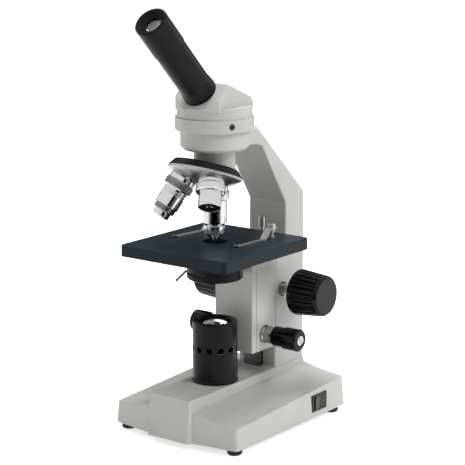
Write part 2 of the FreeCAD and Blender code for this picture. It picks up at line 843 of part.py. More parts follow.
def click_spring():
    """A strip screwed into the neck whose dimple rides on the turret."""
    strip = block(8.5, 23.5, -click_half_width, click_half_width, rim_high - 2.0, rim_high - 1.6)
    dimple = Part.makeSphere(1.3, Vector(21.5, 0, rim_high - 1.7))
    screw = cylinder(1.8, rim_high - 1.6, rim_high - 0.6, 11.0, 0)
    spring = fused([strip, dimple.common(block(15, 25, -3, 3, rim_high - 2.0, rim_high - 0.4)), screw])
    return aimed(turned_copy(spring, click_azimuth), apex, turret_axis)


# Nosepiece and objectives

def objective_axis(index):
    """Direction of one objective, away from the apex; index 0 is the one in use."""
    down = Vector(0, 0, -1)
    turn = Rotation(turret_axis, index * 360.0 / objective_count)
    return turn.multVec(down)


def objective_bore(radius, start, end, index):
    return Part.makeCylinder(radius, end - start, apex + objective_axis(index) * start, objective_axis(index))


def nosepiece_rim():
    """The knurled ring and web that close the turret from above."""
    ring = turned([(axle_radius + shaft_gap, rim_high), (rim_top_radius, rim_high), (rim_radius, rim_low),
                   (rim_radius - shell_thickness, rim_low), (rim_top_radius - 2.5, rim_high + rim_web),
                   (axle_radius + shaft_gap, rim_high + rim_web)])
    ring = aimed(ring, apex, turret_axis)
    light_hole = light_bore + rim_light_room
    return cut_all(ring, [objective_bore(light_hole, rim_high - rim_height, rim_low + rim_height, index)
                          for index in range(objective_count)])


def nosepiece_shell():
    """The domed turret, a spherical cap about the apex with three threaded bosses."""
    inside = aimed(Part.makeSphere(shell_radius - shell_thickness), Vector(0, 0, 0), Vector(1, 0, 0)).common(
        cylinder(rim_radius - shell_thickness, rim_low - 1, shell_radius))
    drum = cylinder(rim_radius, rim_low, shell_radius + 2).cut(inside)
    hub = cylinder(axle_radius + 4.0, rim_low + 0.5, shell_radius + 2)
    blank = aimed(drum.fuse(hub), apex, turret_axis)
    boss_start = shell_radius - thread_length - 0.6
    bosses = [objective_bore(thread_radius + 2.0, boss_start, shell_radius + 4, index)
              for index in range(objective_count)]
    shell = fused([blank] + bosses)
    outside = shell_radius + 10
    cutters = [objective_bore(thread_radius + seat_gap, rim_high, outside, index)
               for index in range(objective_count)]
    cutters.append(Part.makeCylinder(axle_radius + shaft_gap, outside, apex, turret_axis))
    cutters.append(Part.makeCylinder(axle_head_radius + seam_gap, 20,
                                     apex + turret_axis * (shell_radius - 2.6 - seam_gap), turret_axis))
    # Flats where the objectives' shoulders seat
    cutters += [objective_bore(objective_flange_radius + 0.3, shell_radius - seat_depth, outside, index)
                for index in range(objective_count)]
    dome_ball = aimed(Part.makeSphere(shell_radius), apex, Vector(1, 0, 0))
    return cut_all(shell, cutters).common(dome_ball)


def objective(profile, bore):
    """A turned barrel; distances run from the shoulder towards the specimen."""
    start = shell_radius - seat_depth
    stub = [(bore, start - thread_length), (thread_radius, start - thread_length), (thread_radius, start)]
    outside = [(radius, shell_radius + distance) for radius, distance in profile]
    outside[0] = (outside[0][0], start)
    end = outside[-1][1]
    return turned(stub + outside + [(bore, end)])


def placed_objective(shape, index):
    return aimed(shape, apex, objective_axis(index))


low_profile = [(objective_flange_radius, 0), (objective_flange_radius, 1.6), (10.4, 2.0), (10.4, 2.8),
               (12.2, 3.2), (12.2, 8.2), (11.4, 9.0), (9.5, 9.0), (9.5, low_length - 1.6),
               (8.4, low_length - 0.4), (8.4, low_length)]
mid_profile = [(objective_flange_radius, 0), (objective_flange_radius, 2.4), (11.6, 2.8), (12.2, 3.4),
               (12.2, 9.0), (10.2, 10.0), (10.2, 12.2), (9.6, 12.2), (9.6, 13.0), (10.2, 13.0),
               (10.2, 14.2), (9.6, 14.2), (9.6, 15.0), (10.2, 15.0), (10.2, 26.0), (9.2, 26.4),
               (9.2, 30.5), (7.2, 31.0), (7.2, mid_length - 0.8), (6.4, mid_length)]
high_profile = [(objective_flange_radius, 0), (objective_flange_radius, 2.4), (11.6, 2.8), (12.2, 3.4),
                (12.2, 9.0), (10.15, 10.0), (10.15, high_shoulder - 0.5), (9.7, high_shoulder)]


def objective_low():
    end = shell_radius + low_length
    barrel = objective(low_profile, low_bore).cut(cylinder(low_bore + 2, end - 2.2, end + 1))
    return placed_objective(barrel, 1)


def objective_low_lens():
    lens = dome(low_bore - seat_gap, 2.0, 1.0, 0)
    return placed_objective(moved_copy(lens, 0, 0, shell_radius + low_length - 6.0), 1)


def objective_mid():
    return placed_objective(objective(mid_profile, mid_bore), 2)


def objective_mid_lens():
    lens = dome(mid_bore - seat_gap, 1.6, 0.7, 0)
    return placed_objective(moved_copy(lens, 0, 0, shell_radius + mid_length - 2.6), 2)


def objective_high():
    return placed_objective(objective(high_profile, high_guide_radius), 0)


def high_nose():
    """The sprung front mount of the high-power objective, which backs off on contact."""
    start = shell_radius
    guide = high_guide_radius - shaft_gap
    end = start + high_length
    mount = turned([(high_window_radius, start + 20.0), (guide, start + 20.0), (guide, start + nose_start),
                    (high_nose_radius, start + nose_start), (high_nose_radius, end - 5.5),
                    (high_tip_radius, end), (high_window_radius, end)])
    glass = cylinder(high_window_radius, end - 3.0, end - 0.4)
    return placed_objective(mount.fuse(glass).removeSplitter(), 0)


def high_nose_spring():
    """The closed outer form of the coil that pushes the front mount out."""
    coil = tube(high_guide_radius - 0.4, high_guide_radius - 1.8, shell_radius + 8.0, shell_radius + 19.6)
    return placed_objective(coil, 0)


# Head and eyepiece

def along_tube(radius, start, end):
    return Part.makeCylinder(radius, end - start, tube_origin + tube_direction * start, tube_direction)


def head_casting():
    drum = turned([(0, head_bottom), (band_radius - 0.8, head_bottom), (band_radius, head_bottom + 0.8),
                   (band_radius, band_top), (drum_radius, band_top), (drum_radius, drum_top), (0, drum_top)])
    front_low = ridge_y - (ridge_z - drum_top) * math.tan(math.radians(tube_tilt))
    wedge = side_profile([(front_low, drum_top), (ridge_y, ridge_z), (roof_rear_y, roof_rear_z),
                          (roof_rear_y + 4.5, drum_top), (roof_rear_y + 4.5, drum_top - 2),
                          (front_low, drum_top - 2)], prism_block_half_width)
    wedge = wedge.common(cylinder(prism_block_radius, drum_top - 5, ridge_z + 5))
    spigot = cylinder(spigot_radius, head_bottom - spigot_length, head_bottom + 1)
    solid = fused([drum, wedge, spigot])
    screw_seat = head_screw_centre + head_screw_axis * (band_radius - head_screw_seat)
    screw_tip = head_screw_centre + head_screw_axis * 20
    cutters = [
        cylinder(light_bore + 3, head_bottom - spigot_length - 1, prism_low_z + 1),
        side_profile(prism_outline, prism_half_width),
        along_tube(light_bore + 4, prism_exit - 1, tube_start + 5),
        along_tube(tube_thread_radius + seat_gap, tube_thread_start, tube_start + 30),
        Part.makeCylinder(head_screw_radius + 0.5, 12, screw_seat, head_screw_axis),
        Part.makeCylinder(head_screw_radius - 0.5, 20, screw_tip, head_screw_axis),
    ]
    return cut_all(solid, cutters).removeSplitter()


def head_prism():
    return side_profile(prism_outline, prism_half_width)


def head_screw():
    seat = band_radius - head_screw_seat
    socket = hexagon(1.1, band_radius - 1.8, band_radius + 1)
    head = cylinder(head_screw_radius, seat, band_radius - 0.6).cut(socket)
    shank = cylinder(head_screw_radius - 0.5 - seat_gap, 22.5, seat)
    return aimed(head.fuse(shank).removeSplitter(), head_screw_centre, head_screw_axis)


def eyepiece_tube():
    ledge = tube_end - eyepiece_insert - 2
    body = turned([(tube_bore - 1.6, tube_thread_start), (tube_thread_radius, tube_thread_start),
                   (tube_thread_radius, tube_start), (tube_collar_radius, tube_start),
                   (tube_collar_radius, tube_start + 3), (tube_radius, tube_start + 12),
                   (tube_radius, tube_end - seam_gap), (tube_bore, tube_end - seam_gap),
                   (tube_bore, ledge), (tube_bore - 1.6, ledge)])
    return aimed(body, tube_origin, tube_direction)


def eyepiece_barrel():
    sleeve = tube_bore - shaft_gap
    bore = sleeve - eyepiece_sleeve_wall
    lens_seat = eyepiece_end - eye_lens_depth
    lens_low = lens_seat - eye_lens_room
    body = turned([(bore, tube_end - eyepiece_insert), (sleeve, tube_end - eyepiece_insert),
                   (sleeve, tube_end), (eyepiece_radius, tube_end), (eyepiece_radius, eyepiece_end - 1.0),
                   (eyepiece_radius - 1.0, eyepiece_end), (eyepiece_radius - 1.8, eyepiece_end),
                   (eye_lens_radius + 1.0, lens_seat), (eye_lens_radius + seat_gap, lens_seat),
                   (eye_lens_radius + seat_gap, lens_low), (eye_lens_radius - 1.0, lens_low),
                   (eye_lens_radius - 1.0, lens_low - 2.0), (bore, lens_low - 4.5)])
    return aimed(body, tube_origin, tube_direction)


def eye_lens():
    lens = dome(eye_lens_radius, 2.2, 1.2, eyepiece_end - eye_lens_depth - eye_lens_room)
    return aimed(lens, tube_origin, tube_direction)


def field_lens():
    radius = tube_bore - shaft_gap - eyepiece_sleeve_wall - seat_gap
    lens = dome(radius, 1.8, 1.4, tube_end - eyepiece_insert + 1.5)
    return aimed(lens, tube_origin, tube_direction)


# Focus block, rack and fine focus

def focus_block():
    body = block(-arm_half_width, arm_half_width, block_front, block_rear, block_bottom, block_top)
    side = slide_gap * 1.4
    groove = plan_profile([(-guide_half_width - side, guide_front - slide_gap),
                           (guide_half_width + side, guide_front - slide_gap),
                           (guide_neck_half_width + side, guide_shoulder),
                           (guide_neck_half_width + side, block_rear + 1),
                           (-guide_neck_half_width - side, block_rear + 1),
                           (-guide_neck_half_width - side, guide_shoulder)], block_bottom - 1, block_top + 1)
    bush_start = arm_half_width - fine_bush_depth
    bush_end = arm_half_width + 1
    room_top = tongue_top + tongue_top_room
    mouth = tongue_half_width + tongue_side_room
    mouth_low = wedge_top(-tongue_half_width) - fine_travel - tongue_drop_clearance
    cutters = [
        groove,
        block(-rack_half_width - seat_gap, rack_half_width + seat_gap, rack_root_y, guide_front, rack_low,
              rack_high),
        cross_cylinder(fine_shaft_radius + shaft_gap, -bush_end, bush_end, fine_y, fine_z),
        cross_cylinder(fine_shank + seat_gap, bush_start, bush_end, fine_y, fine_z),
        cross_cylinder(fine_shank + seat_gap, -bush_end, -bush_start, fine_y, fine_z),
        block(-wedge_room, wedge_room, wedge_front - slide_gap, wedge_rear + slide_gap,
              fine_z - wedge_half_height - wedge_end_room, room_top),
        block(-mouth, mouth, block_front - 1, wedge_front, mouth_low, room_top),
        key_profile(side, block_top + 1, key_low - 2.0),
    ]
    return cut_all(body, cutters).removeSplitter()


def key_profile(gap, high, low):
    """The dovetail on the back of the carrier, or its groove with a gap all round."""
    front = key_front_half_width + gap
    rear = key_rear_half_width + gap
    bottom = carrier_rear + key_depth + gap
    return plan_profile([(-front, carrier_rear - key_neck), (front, carrier_rear - key_neck),
                         (front, carrier_rear + key_neck), (rear, bottom), (-rear, bottom),
                         (-front, carrier_rear + key_neck)], low, high)


def focus_rack():
    """A bar with straight-sided teeth that face the pinion."""
    slope = math.tan(math.radians(pressure_angle))
    tip_y = rack_pitch_y + rack_addendum
    root_y = rack_pitch_y - rack_dedendum
    half_pitch_tooth = pitch / 4 - tooth_backlash / 4
    points = [(rack_root_y, rack_low), (root_y, rack_low)]
    # A tooth of the rack fills each space of the pinion, so one is centred on its height
    first = math.ceil((rack_low + pitch - coarse_z) / pitch)
    last = math.floor((rack_high - pitch - coarse_z) / pitch)
    for index in range(first, last + 1):
        middle = coarse_z + index * pitch
        root_half = half_pitch_tooth + rack_dedendum * slope
        tip_half = half_pitch_tooth - rack_addendum * slope
        points += [(root_y, middle - root_half), (tip_y, middle - tip_half), (tip_y, middle + tip_half),
                   (root_y, middle + root_half)]
    points += [(root_y, rack_high), (rack_root_y, rack_high)]
    return side_profile(points, rack_half_width)


def fine_bushes():
    start = arm_half_width - fine_bush_depth + 0.5
    bush = turned([(fine_shaft_radius + shaft_gap, start), (fine_shank, start),
                   (fine_shank, arm_half_width), (fine_bush_radius, arm_half_width),
                   (fine_bush_radius, arm_half_width + 2.2), (fine_bush_radius - 0.7, arm_half_width + 2.8),
                   (fine_bush_radius - 0.7, fine_bush_end), (fine_shaft_radius + shaft_gap, fine_bush_end)])
    right = aimed(bush, Vector(0, fine_y, fine_z), Vector(1, 0, 0))
    return group([right, mirrored_x(right)])


# Coarse drive

def pinion_profile():
    """Involute teeth about the origin, with a space centred on the -X side."""
    base_radius = pinion_pitch_radius * math.cos(math.radians(pressure_angle))
    root = pinion_pitch_radius - pinion_module * 1.15
    tip = pinion_pitch_radius + pinion_module * 0.9
    half_tooth = math.pi / (2 * pinion_teeth) - tooth_backlash / (4 * pinion_pitch_radius)

    def involute(radius):
        if radius <= base_radius:
            return 0.0
        roll = math.acos(base_radius / radius)
        return math.tan(roll) - roll

    at_pitch = involute(pinion_pitch_radius)
    radii = [root, base_radius, pinion_pitch_radius, (pinion_pitch_radius + tip) / 2, tip]
    points = []
    for tooth in range(pinion_teeth):
        middle = math.pi + (tooth + 0.5) * 2 * math.pi / pinion_teeth
        flank = [(radius, half_tooth + at_pitch - involute(radius)) for radius in radii]
        for radius, half in flank:
            points.append((radius * math.cos(middle - half), radius * math.sin(middle - half)))
        for radius, half in reversed(flank):
            points.append((radius * math.cos(middle + half), radius * math.sin(middle + half)))
    return points


def coarse_shaft():
    """The cross shaft with the pinion cut in its middle."""
    end = coarse_knob_end - 3.0
    shaft = Part.makeCylinder(coarse_shaft_radius, 2 * end, Vector(0, 0, -end))
    gear = plan_profile(pinion_profile(), -pinion_width / 2, pinion_width / 2)
    whole = gear.fuse(shaft).removeSplitter()
    # Lay the shaft along X, with the gear's -X side towards the rack at -Y
    whole.rotate(Vector(0, 0, 0), Vector(1, 1, 1), 120)
    return moved_copy(whole, 0, coarse_y, coarse_z)


def coarse_knob_right():
    inner = coarse_knob_inner_radius
    outer = coarse_knob_outer_radius
    bore = coarse_shaft_radius + seat_gap
    end = coarse_knob_end - coarse_knob_cap
    knob = turned([(bore, coarse_knob_start + 3.0), (7.0, coarse_knob_start + 3.0),
                   (7.0, coarse_knob_start), (inner - 1.5, coarse_knob_start),
                   (inner, coarse_knob_start + 1.5), (outer, end), (bore, end)])
    flute_tilt = math.atan2(inner - outer, end - coarse_knob_start)
    flute = Part.makeCylinder(coarse_flute_radius, 60, Vector(0, 0, -10))
    flute.rotate(Vector(0, 0, 0), Vector(0, 1, 0), -math.degrees(flute_tilt))
    flute.translate(Vector(inner + coarse_flute_radius * 0.45, 0, coarse_knob_start))
    flutes = [turned_copy(flute, index * 360 / coarse_flutes) for index in range(coarse_flutes)]
    knob = cut_all(knob, flutes)
    return aimed(knob, Vector(0, coarse_y, coarse_z), Vector(1, 0, 0))


def coarse_knob_left():
    return mirrored_x(coarse_knob_right())


def coarse_knob_caps():
    radius = coarse_knob_outer_radius - 1.2
    disc = turned([(0, coarse_knob_end - coarse_knob_cap), (radius, coarse_knob_end - coarse_knob_cap),
                   (radius, coarse_knob_end - 0.3), (radius - 0.3, coarse_knob_end), (0, coarse_knob_end)])
    right = aimed(disc, Vector(0, coarse_y, coarse_z), Vector(1, 0, 0))
    return group([right, mirrored_x(right)])


# Fine drive

def fine_shaft():
    end = fine_knob_end - 2.5
    return cross_cylinder(fine_shaft_radius, -end, end, fine_y, fine_z)


def fine_knob_right():
    bore = fine_shaft_radius + seat_gap
    small = fine_knob_small_radius
    large = fine_knob_large_radius
    knob = turned([(bore, fine_knob_start), (small - 0.5, fine_knob_start), (small, fine_knob_start + 0.5),
                   (small, fine_knob_step - 0.8), (large, fine_knob_step), (large, fine_knob_end - 1.2),
                   (large - 1.2, fine_knob_end), (fine_screw_radius + 0.6, fine_knob_end),
                   (fine_screw_radius + 0.6, fine_knob_end - 2.5), (bore, fine_knob_end - 2.5)])
    return aimed(knob, Vector(0, fine_y, fine_z), Vector(1, 0, 0))


def fine_knob_left():
    return mirrored_x(fine_knob_right())


def fine_knob_screws():
    head = slotted_head(fine_screw_radius, fine_knob_end - 2.5, fine_knob_end + 0.4, 1.1, 1.0)
    right = aimed(turned_copy(head, 25), Vector(0, fine_y, fine_z), Vector(1, 0, 0))
    return group([right, mirrored_x(right)])


def wedge_top(x):
    return fine_z + wedge_half_height + wedge_slope * x


def fine_wedge():
    """The nut on the fine shaft whose sloping top lifts the carrier's tongue."""
    low = fine_z - wedge_half_height
    half = wedge_half_length
    corners = [Vector(-half, wedge_front, low), Vector(half, wedge_front, low),
               Vector(half, wedge_front, wedge_top(half)), Vector(-half, wedge_front, wedge_top(-half))]
    nut = Part.Face(Part.makePolygon(corners + corners[:1])).extrude(Vector(0, wedge_rear - wedge_front, 0))
    return nut.cut(cross_cylinder(fine_shaft_radius + shaft_gap, -20, 20, fine_y, fine_z))


# Stage, carrier and clips

def carrier_plate():
    plate = block(-arm_half_width, arm_half_width, carrier_front, carrier_rear, block_bottom, flange_bottom)
    flange = block(-flange_half_width, flange_half_width, carrier_front, flange_rear, flange_bottom,
                   stage_bottom)
    key = key_profile(0, flange_bottom, key_low)
    half = tongue_half_width
    corners = [Vector(-half, carrier_rear, wedge_top(-half) + slide_gap),
               Vector(half, carrier_rear, wedge_top(half) + slide_gap),
               Vector(half, carrier_rear, tongue_top), Vector(-half, carrier_rear, tongue_top)]
    tongue = Part.Face(Part.makePolygon(corners + corners[:1])).extrude(Vector(0, tongue_length, 0))
    carrier = fused([plate, flange, key, tongue])
    low = flange_bottom - 1
    seat = flange_bottom + stage_screw_seat
    for x, y in stage_screw_places():
        carrier = carrier.cut(cylinder(stage_screw_radius + seat_gap, low, stage_bottom + 1, x, y))
        carrier = carrier.cut(cylinder(stage_screw_head + seat_gap, low, seat, x, y))
    return carrier


def stage_screw_places():
    rows = (carrier_rear + stage_screw_inset, flange_rear - stage_screw_inset)
    return [(x, y) for x in (-stage_screw_x, stage_screw_x) for y in rows]


def stage_screws():
    seat = flange_bottom + stage_screw_seat
    head = cylinder(stage_screw_head, flange_bottom + 0.1, seat)
    screw = head.fuse(cylinder(stage_screw_radius, seat, seat + stage_screw_length)).removeSplitter()
    slot = block(-stage_screw_head, stage_screw_head, -0.5, 0.5, flange_bottom - 1, flange_bottom + 0.9)
    screw = screw.cut(slot)
    return group([moved_copy(screw, x, y) for x, y in stage_screw_places()])


def stage_plate():
    front = stage_centre_y - stage_half_depth
    rear = stage_centre_y + stage_half_depth
    plate = block(-stage_half_width, stage_half_width, front, rear, stage_bottom, stage_top)
    upright = [edge for edge in plate.Edges if abs(edge.Vertexes[0].Z - edge.Vertexes[1].Z) > 1]
    plate = plate.makeFillet(stage_corner_radius, upright)
    rim = [edge for edge in plate.Edges if edge.BoundBox.ZMin > stage_top - 0.01]
    plate = plate.makeFillet(stage_edge_rounding, rim)
    cutters = [cylinder(stage_hole_radius, stage_bottom - 1, stage_top + 1)]
    cutters += [cylinder(accessory_radius, stage_top - 8.0, stage_top + 1, x, accessory_y)
                for x in (-accessory_x, accessory_x)]
    cutters.append(cylinder(locator_radius, stage_top - 6.0, stage_top + 1, 0, locator_y))
    cutters += [cylinder(clip_post_radius + shaft_gap, stage_bottom + 1.0, stage_top + 1, x, clip_post_y)
                for x in (-clip_post_x, clip_post_x)]
    screw_end = flange_bottom + stage_screw_seat + stage_screw_length
    cutters += [cylinder(stage_screw_radius + seat_gap, stage_bottom - 1, screw_end + 0.5, x, y)
                for x, y in stage_screw_places()]
    return cut_all(plate, cutters)


def stage_clip(post_x, tip):
    """A sprung strip that stands on a turning post and presses on the slide."""
    run_x = tip[0] - post_x
    run_y = tip[1] - clip_post_y
    length = math.hypot(run_x, run_y)
    low = stage_top + seam_gap
    high = stage_top + clip_height
    thick = clip_thickness
    riser_start = clip_head_radius + 0.6
    riser_end = riser_start + clip_riser_run
    top_side = [(-clip_head_radius, high + thick), (riser_start + 0.4, high + thick),
                (riser_end + 0.4, low + thick), (length - 2.5, low + thick), (length, low + thick + 1.2)]
    under = [(length, low + 1.2), (length - 2.5, low), (riser_end, low), (riser_start, high),
             (-clip_head_radius, high)]
    corners = [Vector(u, -clip_width, z) for u, z in top_side + under]
    strip = Part.Face(Part.makePolygon(corners + corners[:1])).extrude(Vector(0, 2 * clip_width, 0))
    half = clip_width / 2
    nose = half * 0.62
    outline = plan_profile([(-clip_head_radius, -half), (riser_end, -half), (riser_end + 3.0, -nose),
                            (length + 1, -nose), (length + 1, nose), (riser_end + 3.0, nose),
                            (riser_end, half), (-clip_head_radius, half)], stage_bottom, high + 5)
    strip = strip.common(outline).cut(cylinder(clip_post_radius + seat_gap, stage_bottom, high + 5))
    post = cylinder(clip_post_radius, stage_bottom + 1.3, high + thick)
    collar = tube(clip_post_radius + 1.1, clip_post_radius - 0.5, stage_top + seam_gap, stage_top + 2.2)
    collar_high = tube(clip_post_radius + 0.9, clip_post_radius - 0.5, high - 2.4, high)
    head = turned([(0, high + thick), (clip_head_radius, high + thick),
                   (clip_head_radius, high + thick + clip_head_height - 0.5),
                   (clip_head_radius - 0.5, high + thick + clip_head_height),
                   (0, high + thick + clip_head_height)])
    post = fused([post, collar, collar_high, head])
    azimuth = math.degrees(math.atan2(run_y, run_x))
    return group([moved_copy(turned_copy(solid, azimuth), post_x, clip_post_y) for solid in (strip, post)])


def clip_right():
    return stage_clip(clip_post_x, clip_tip_right)


def clip_left():
    return stage_clip(-clip_post_x, clip_tip_left)


# Condenser and iris

def condenser_housing():
    body = turned([(iris_room_radius, condenser_bottom), (condenser_radius - 1.0, condenser_bottom),
                   (condenser_radius, condenser_bottom + 1.0), (condenser_radius, stage_bottom),
                   (condenser_lens_radius + seat_gap, stage_bottom),
                   (condenser_lens_radius + seat_gap, condenser_lens_seat),
                   (condenser_lens_radius - 1.3, condenser_lens_seat),
                   (condenser_lens_radius - 1.3, iris_ceiling + 2), (iris_window, iris_ceiling),
                   (iris_room_radius, iris_ceiling)])
    slot = sector(iris_room_radius - 1, condenser_radius + 1, lever_direction - lever_side_room,
                  lever_direction + lever_swing_full + lever_side_room, lever_ring_low - seam_gap,
                  iris_ceiling)
    screw_hole = Part.makeCylinder(1.5, 6, Vector(0, 0, 0), Vector(1, 0, 0))
    screw_hole.translate(Vector(condenser_radius - 2.0, 0, stage_bottom - 9.0))
    return body.cut(slot).cut(turned_copy(screw_hole, lever_direction + 18.0))


def sector(inner, outer, start_angle, end_angle, low, high):
    """Part of a ring between two directions."""
    ring_face = Part.Face(Part.makePolygon([Vector(inner, 0, low), Vector(outer, 0, low),
                                            Vector(outer, 0, high), Vector(inner, 0, high),
                                            Vector(inner, 0, low)]))
    piece = ring_face.revolve(Vector(0, 0, 0), Vector(0, 0, 1), end_angle - start_angle)
    return turned_copy(piece, start_angle)


def condenser_lens():
    return dome(condenser_lens_radius, condenser_lens_edge, condenser_lens_rise, condenser_lens_seat)


def leaf_pin_at(swing):
    """Plan position of a leaf's drive pin when the leaf has turned by an angle."""
    start = Vector(leaf_path_radius * math.cos(math.radians(leaf_span)),
                   leaf_path_radius * math.sin(math.radians(leaf_span)), 0)
    return leaf_pivot + Rotation(Vector(0, 0, 1), swing).multVec(start - leaf_pivot)


def polar_angle(point):
    return math.degrees(math.atan2(point.y, point.x)) % 360


lever_swing_full = round(polar_angle(leaf_pin_at(leaf_swing)) - leaf_span, 1)


def iris_base():
    """The cup below the leaves, with a hole for each leaf's pivot."""
    outer = iris_room_radius - seat_gap
    inner = iris_room_radius - 0.8
    rim = lever_ring_low - slide_gap
    cup = turned([(iris_window, condenser_bottom), (outer, condenser_bottom), (outer, rim), (inner, rim),
                  (inner, iris_floor_top), (iris_window, iris_floor_top)])
    hole = cylinder(leaf_pin_radius + shaft_gap, condenser_bottom + 0.6, iris_floor_top + 1, leaf_path_radius)
    return cut_all(cup, [turned_copy(hole, index * 360 / leaf_count) for index in range(leaf_count)])


def iris_lever():
    """The slotted drive ring and the bent rod that turns it."""
    high = lever_ring_low + lever_ring_thickness
    outer = iris_room_radius - 0.15
    ring = tube(outer, leaf_path_radius - leaf_half_width - 1.2, lever_ring_low, high)
    angles = [leaf_swing * step / 6 for step in range(7)]
    radii = [leaf_pin_at(angle).Length for angle in angles]
    slot_half = leaf_pin_radius + lever_slot_room
    slot = block(min(radii), max(radii), -slot_half, slot_half, lever_ring_low - 1, high + 1)
    slot = fused([slot, cylinder(slot_half, lever_ring_low - 1, high + 1, min(radii)),
                  cylinder(slot_half, lever_ring_low - 1, high + 1, max(radii))])
    for index in range(leaf_count):
        ring = ring.cut(turned_copy(slot, leaf_span + index * 360 / leaf_count))
    tongue = block(outer - 2.5, lever_bend_radius, -1.4, 1.4, lever_ring_low, high)
    bend = Vector(lever_bend_radius - lever_rod_radius, 0, (lever_ring_low + high) / 2)
    fall = Vector(lever_drop, 0, -lever_drop)
    rod = Part.makeCylinder(lever_rod_radius, fall.Length, bend, fall)
    tip = Part.makeSphere(lever_rod_radius, bend + fall)
    elbow = Part.makeSphere(lever_rod_radius, bend)
    lever = turned_copy(fused([tongue, elbow, rod, tip]), lever_direction)
    return fused([ring, lever])


def iris_leaf(index):
    """A thin crescent tilted like a fan blade, so that each passes over the next."""
    half = leaf_half_width
    crescent = sector(leaf_path_radius - half, leaf_path_radius + half, 0, leaf_span, 0, leaf_thickness)
    root = cylinder(half, 0, leaf_thickness, leaf_path_radius)
    end = leaf_pin_at(0)
    tip = cylinder(half, 0, leaf_thickness, end.x, end.y)
    blade = fused([crescent, root, tip])
    middle = math.radians(leaf_span / 2)
    blade.rotate(leaf_pivot, Vector(math.cos(middle), math.sin(middle), 0), leaf_tilt)
    rise = (end - leaf_pivot).Length * math.tan(math.radians(leaf_tilt))
    low = iris_floor_top + 0.3 + half * math.tan(math.radians(leaf_tilt))
    blade.translate(Vector(0, 0, low))
    pivot_pin = cylinder(leaf_pin_radius, condenser_bottom + 0.9, low + leaf_thickness / 2, leaf_path_radius)
    drive_pin = cylinder(leaf_pin_radius, low + rise + leaf_thickness / 2,
                         lever_ring_low + lever_ring_thickness - 0.1, end.x, end.y)
    return turned_copy(fused([blade, pivot_pin, drive_pin]), index * 360 / leaf_count)


# Export

pieces = {
    "base_casting": base_casting, "base_cover": base_cover, "cover_screws": cover_screws,
    "rubber_feet": rubber_feet, "lamp_housing": lamp_housing, "lamp_lens": lamp_lens,
    "lamp_socket": lamp_socket, "lamp_bulb": lamp_bulb, "switch_housing": switch_housing,
    "switch_rocker": switch_rocker, "cable_gland": cable_gland, "arm_casting": arm_casting,
    "arm_bolts": arm_bolts, "guide_rail": guide_rail, "coarse_bushes": coarse_bushes,
    "stop_screw": stop_screw, "nosepiece_axle": nosepiece_axle, "click_spring": click_spring,
    "nosepiece_rim": nosepiece_rim, "nosepiece_shell": nosepiece_shell, "objective_low": objective_low,
    "objective_low_lens": objective_low_lens, "objective_mid": objective_mid,
    "objective_mid_lens": objective_mid_lens, "objective_high": objective_high, "high_nose": high_nose,
    "high_nose_spring": high_nose_spring, "head_casting": head_casting, "head_prism": head_prism,
    "head_screw": head_screw, "eyepiece_tube": eyepiece_tube, "eyepiece_barrel": eyepiece_barrel,
    "eye_lens": eye_lens, "field_lens": field_lens, "focus_block": focus_block,
    "focus_rack": focus_rack, "fine_bushes": fine_bushes, "coarse_shaft": coarse_shaft,
    "coarse_knob_right": coarse_knob_right, "coarse_knob_left": coarse_knob_left,
    "coarse_knob_caps": coarse_knob_caps, "fine_shaft": fine_shaft, "fine_knob_right": fine_knob_right,
    "fine_knob_left": fine_knob_left, "fine_knob_screws": fine_knob_screws, "fine_wedge": fine_wedge,
    "carrier_plate": carrier_plate, "stage_plate": stage_plate, "stage_screws": stage_screws,
    "clip_right": clip_right, "clip_left": clip_left, "condenser_housing": condenser_housing,
    "condenser_lens": condenser_lens, "iris_base": iris_base, "iris_lever": iris_lever,
}

os.makedirs("parts", exist_ok=True)
for name, build in pieces.items():
    moved_copy(build(), 0, optical_axis_y, 0).exportStep("parts/" + name + ".step")
for number in range(leaf_count):
    leaf = moved_copy(iris_leaf(number), 0, optical_axis_y, 0)
    leaf.exportStep("parts/iris_leaf_" + str(number + 1) + ".step")
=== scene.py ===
# A monocular school microscope, drawn as it is put together, from the base and the arm to the stage.
import math

import bmesh
import bpy
from mathutils import Matrix, Vector


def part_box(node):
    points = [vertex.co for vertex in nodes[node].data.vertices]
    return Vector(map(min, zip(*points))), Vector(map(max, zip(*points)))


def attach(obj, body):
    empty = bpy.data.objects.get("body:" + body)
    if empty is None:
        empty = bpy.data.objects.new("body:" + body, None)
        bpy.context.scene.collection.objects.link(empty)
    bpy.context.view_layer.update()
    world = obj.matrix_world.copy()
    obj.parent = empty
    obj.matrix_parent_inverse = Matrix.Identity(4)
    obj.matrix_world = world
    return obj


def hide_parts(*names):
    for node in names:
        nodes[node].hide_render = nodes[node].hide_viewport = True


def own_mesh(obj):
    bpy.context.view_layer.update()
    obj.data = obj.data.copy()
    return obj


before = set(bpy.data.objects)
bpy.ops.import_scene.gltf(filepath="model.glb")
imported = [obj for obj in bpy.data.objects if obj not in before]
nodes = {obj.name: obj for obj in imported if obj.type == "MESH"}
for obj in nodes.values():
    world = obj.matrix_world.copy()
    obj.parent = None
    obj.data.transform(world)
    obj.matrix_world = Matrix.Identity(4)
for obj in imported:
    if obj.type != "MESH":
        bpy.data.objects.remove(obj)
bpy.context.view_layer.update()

# Camera: a long lens above the microscope's top, in front of the user's right hand, looking a little down.
# Its place is measured from the optical axis, which stands in front of the middle of the base.
condenser_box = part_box("condenser_lens")
axis_y = (condenser_box[0].y + condenser_box[1].y) / 2
camera_right, camera_ahead, camera_height = 0.8485, 1.0934, 0.4724
camera_azimuth = math.radians(37.20)
camera_elevation = math.radians(12.345)
focal_length, film_width, farthest_seen = 131.1, 36.0, 20.0
camera_data = bpy.data.cameras.new("camera")
camera_data.lens = focal_length
camera_data.sensor_width = film_width
camera_data.clip_end = farthest_seen
camera = bpy.data.objects.new("camera", camera_data)
camera.location = Vector((camera_right, axis_y - camera_ahead, camera_height))
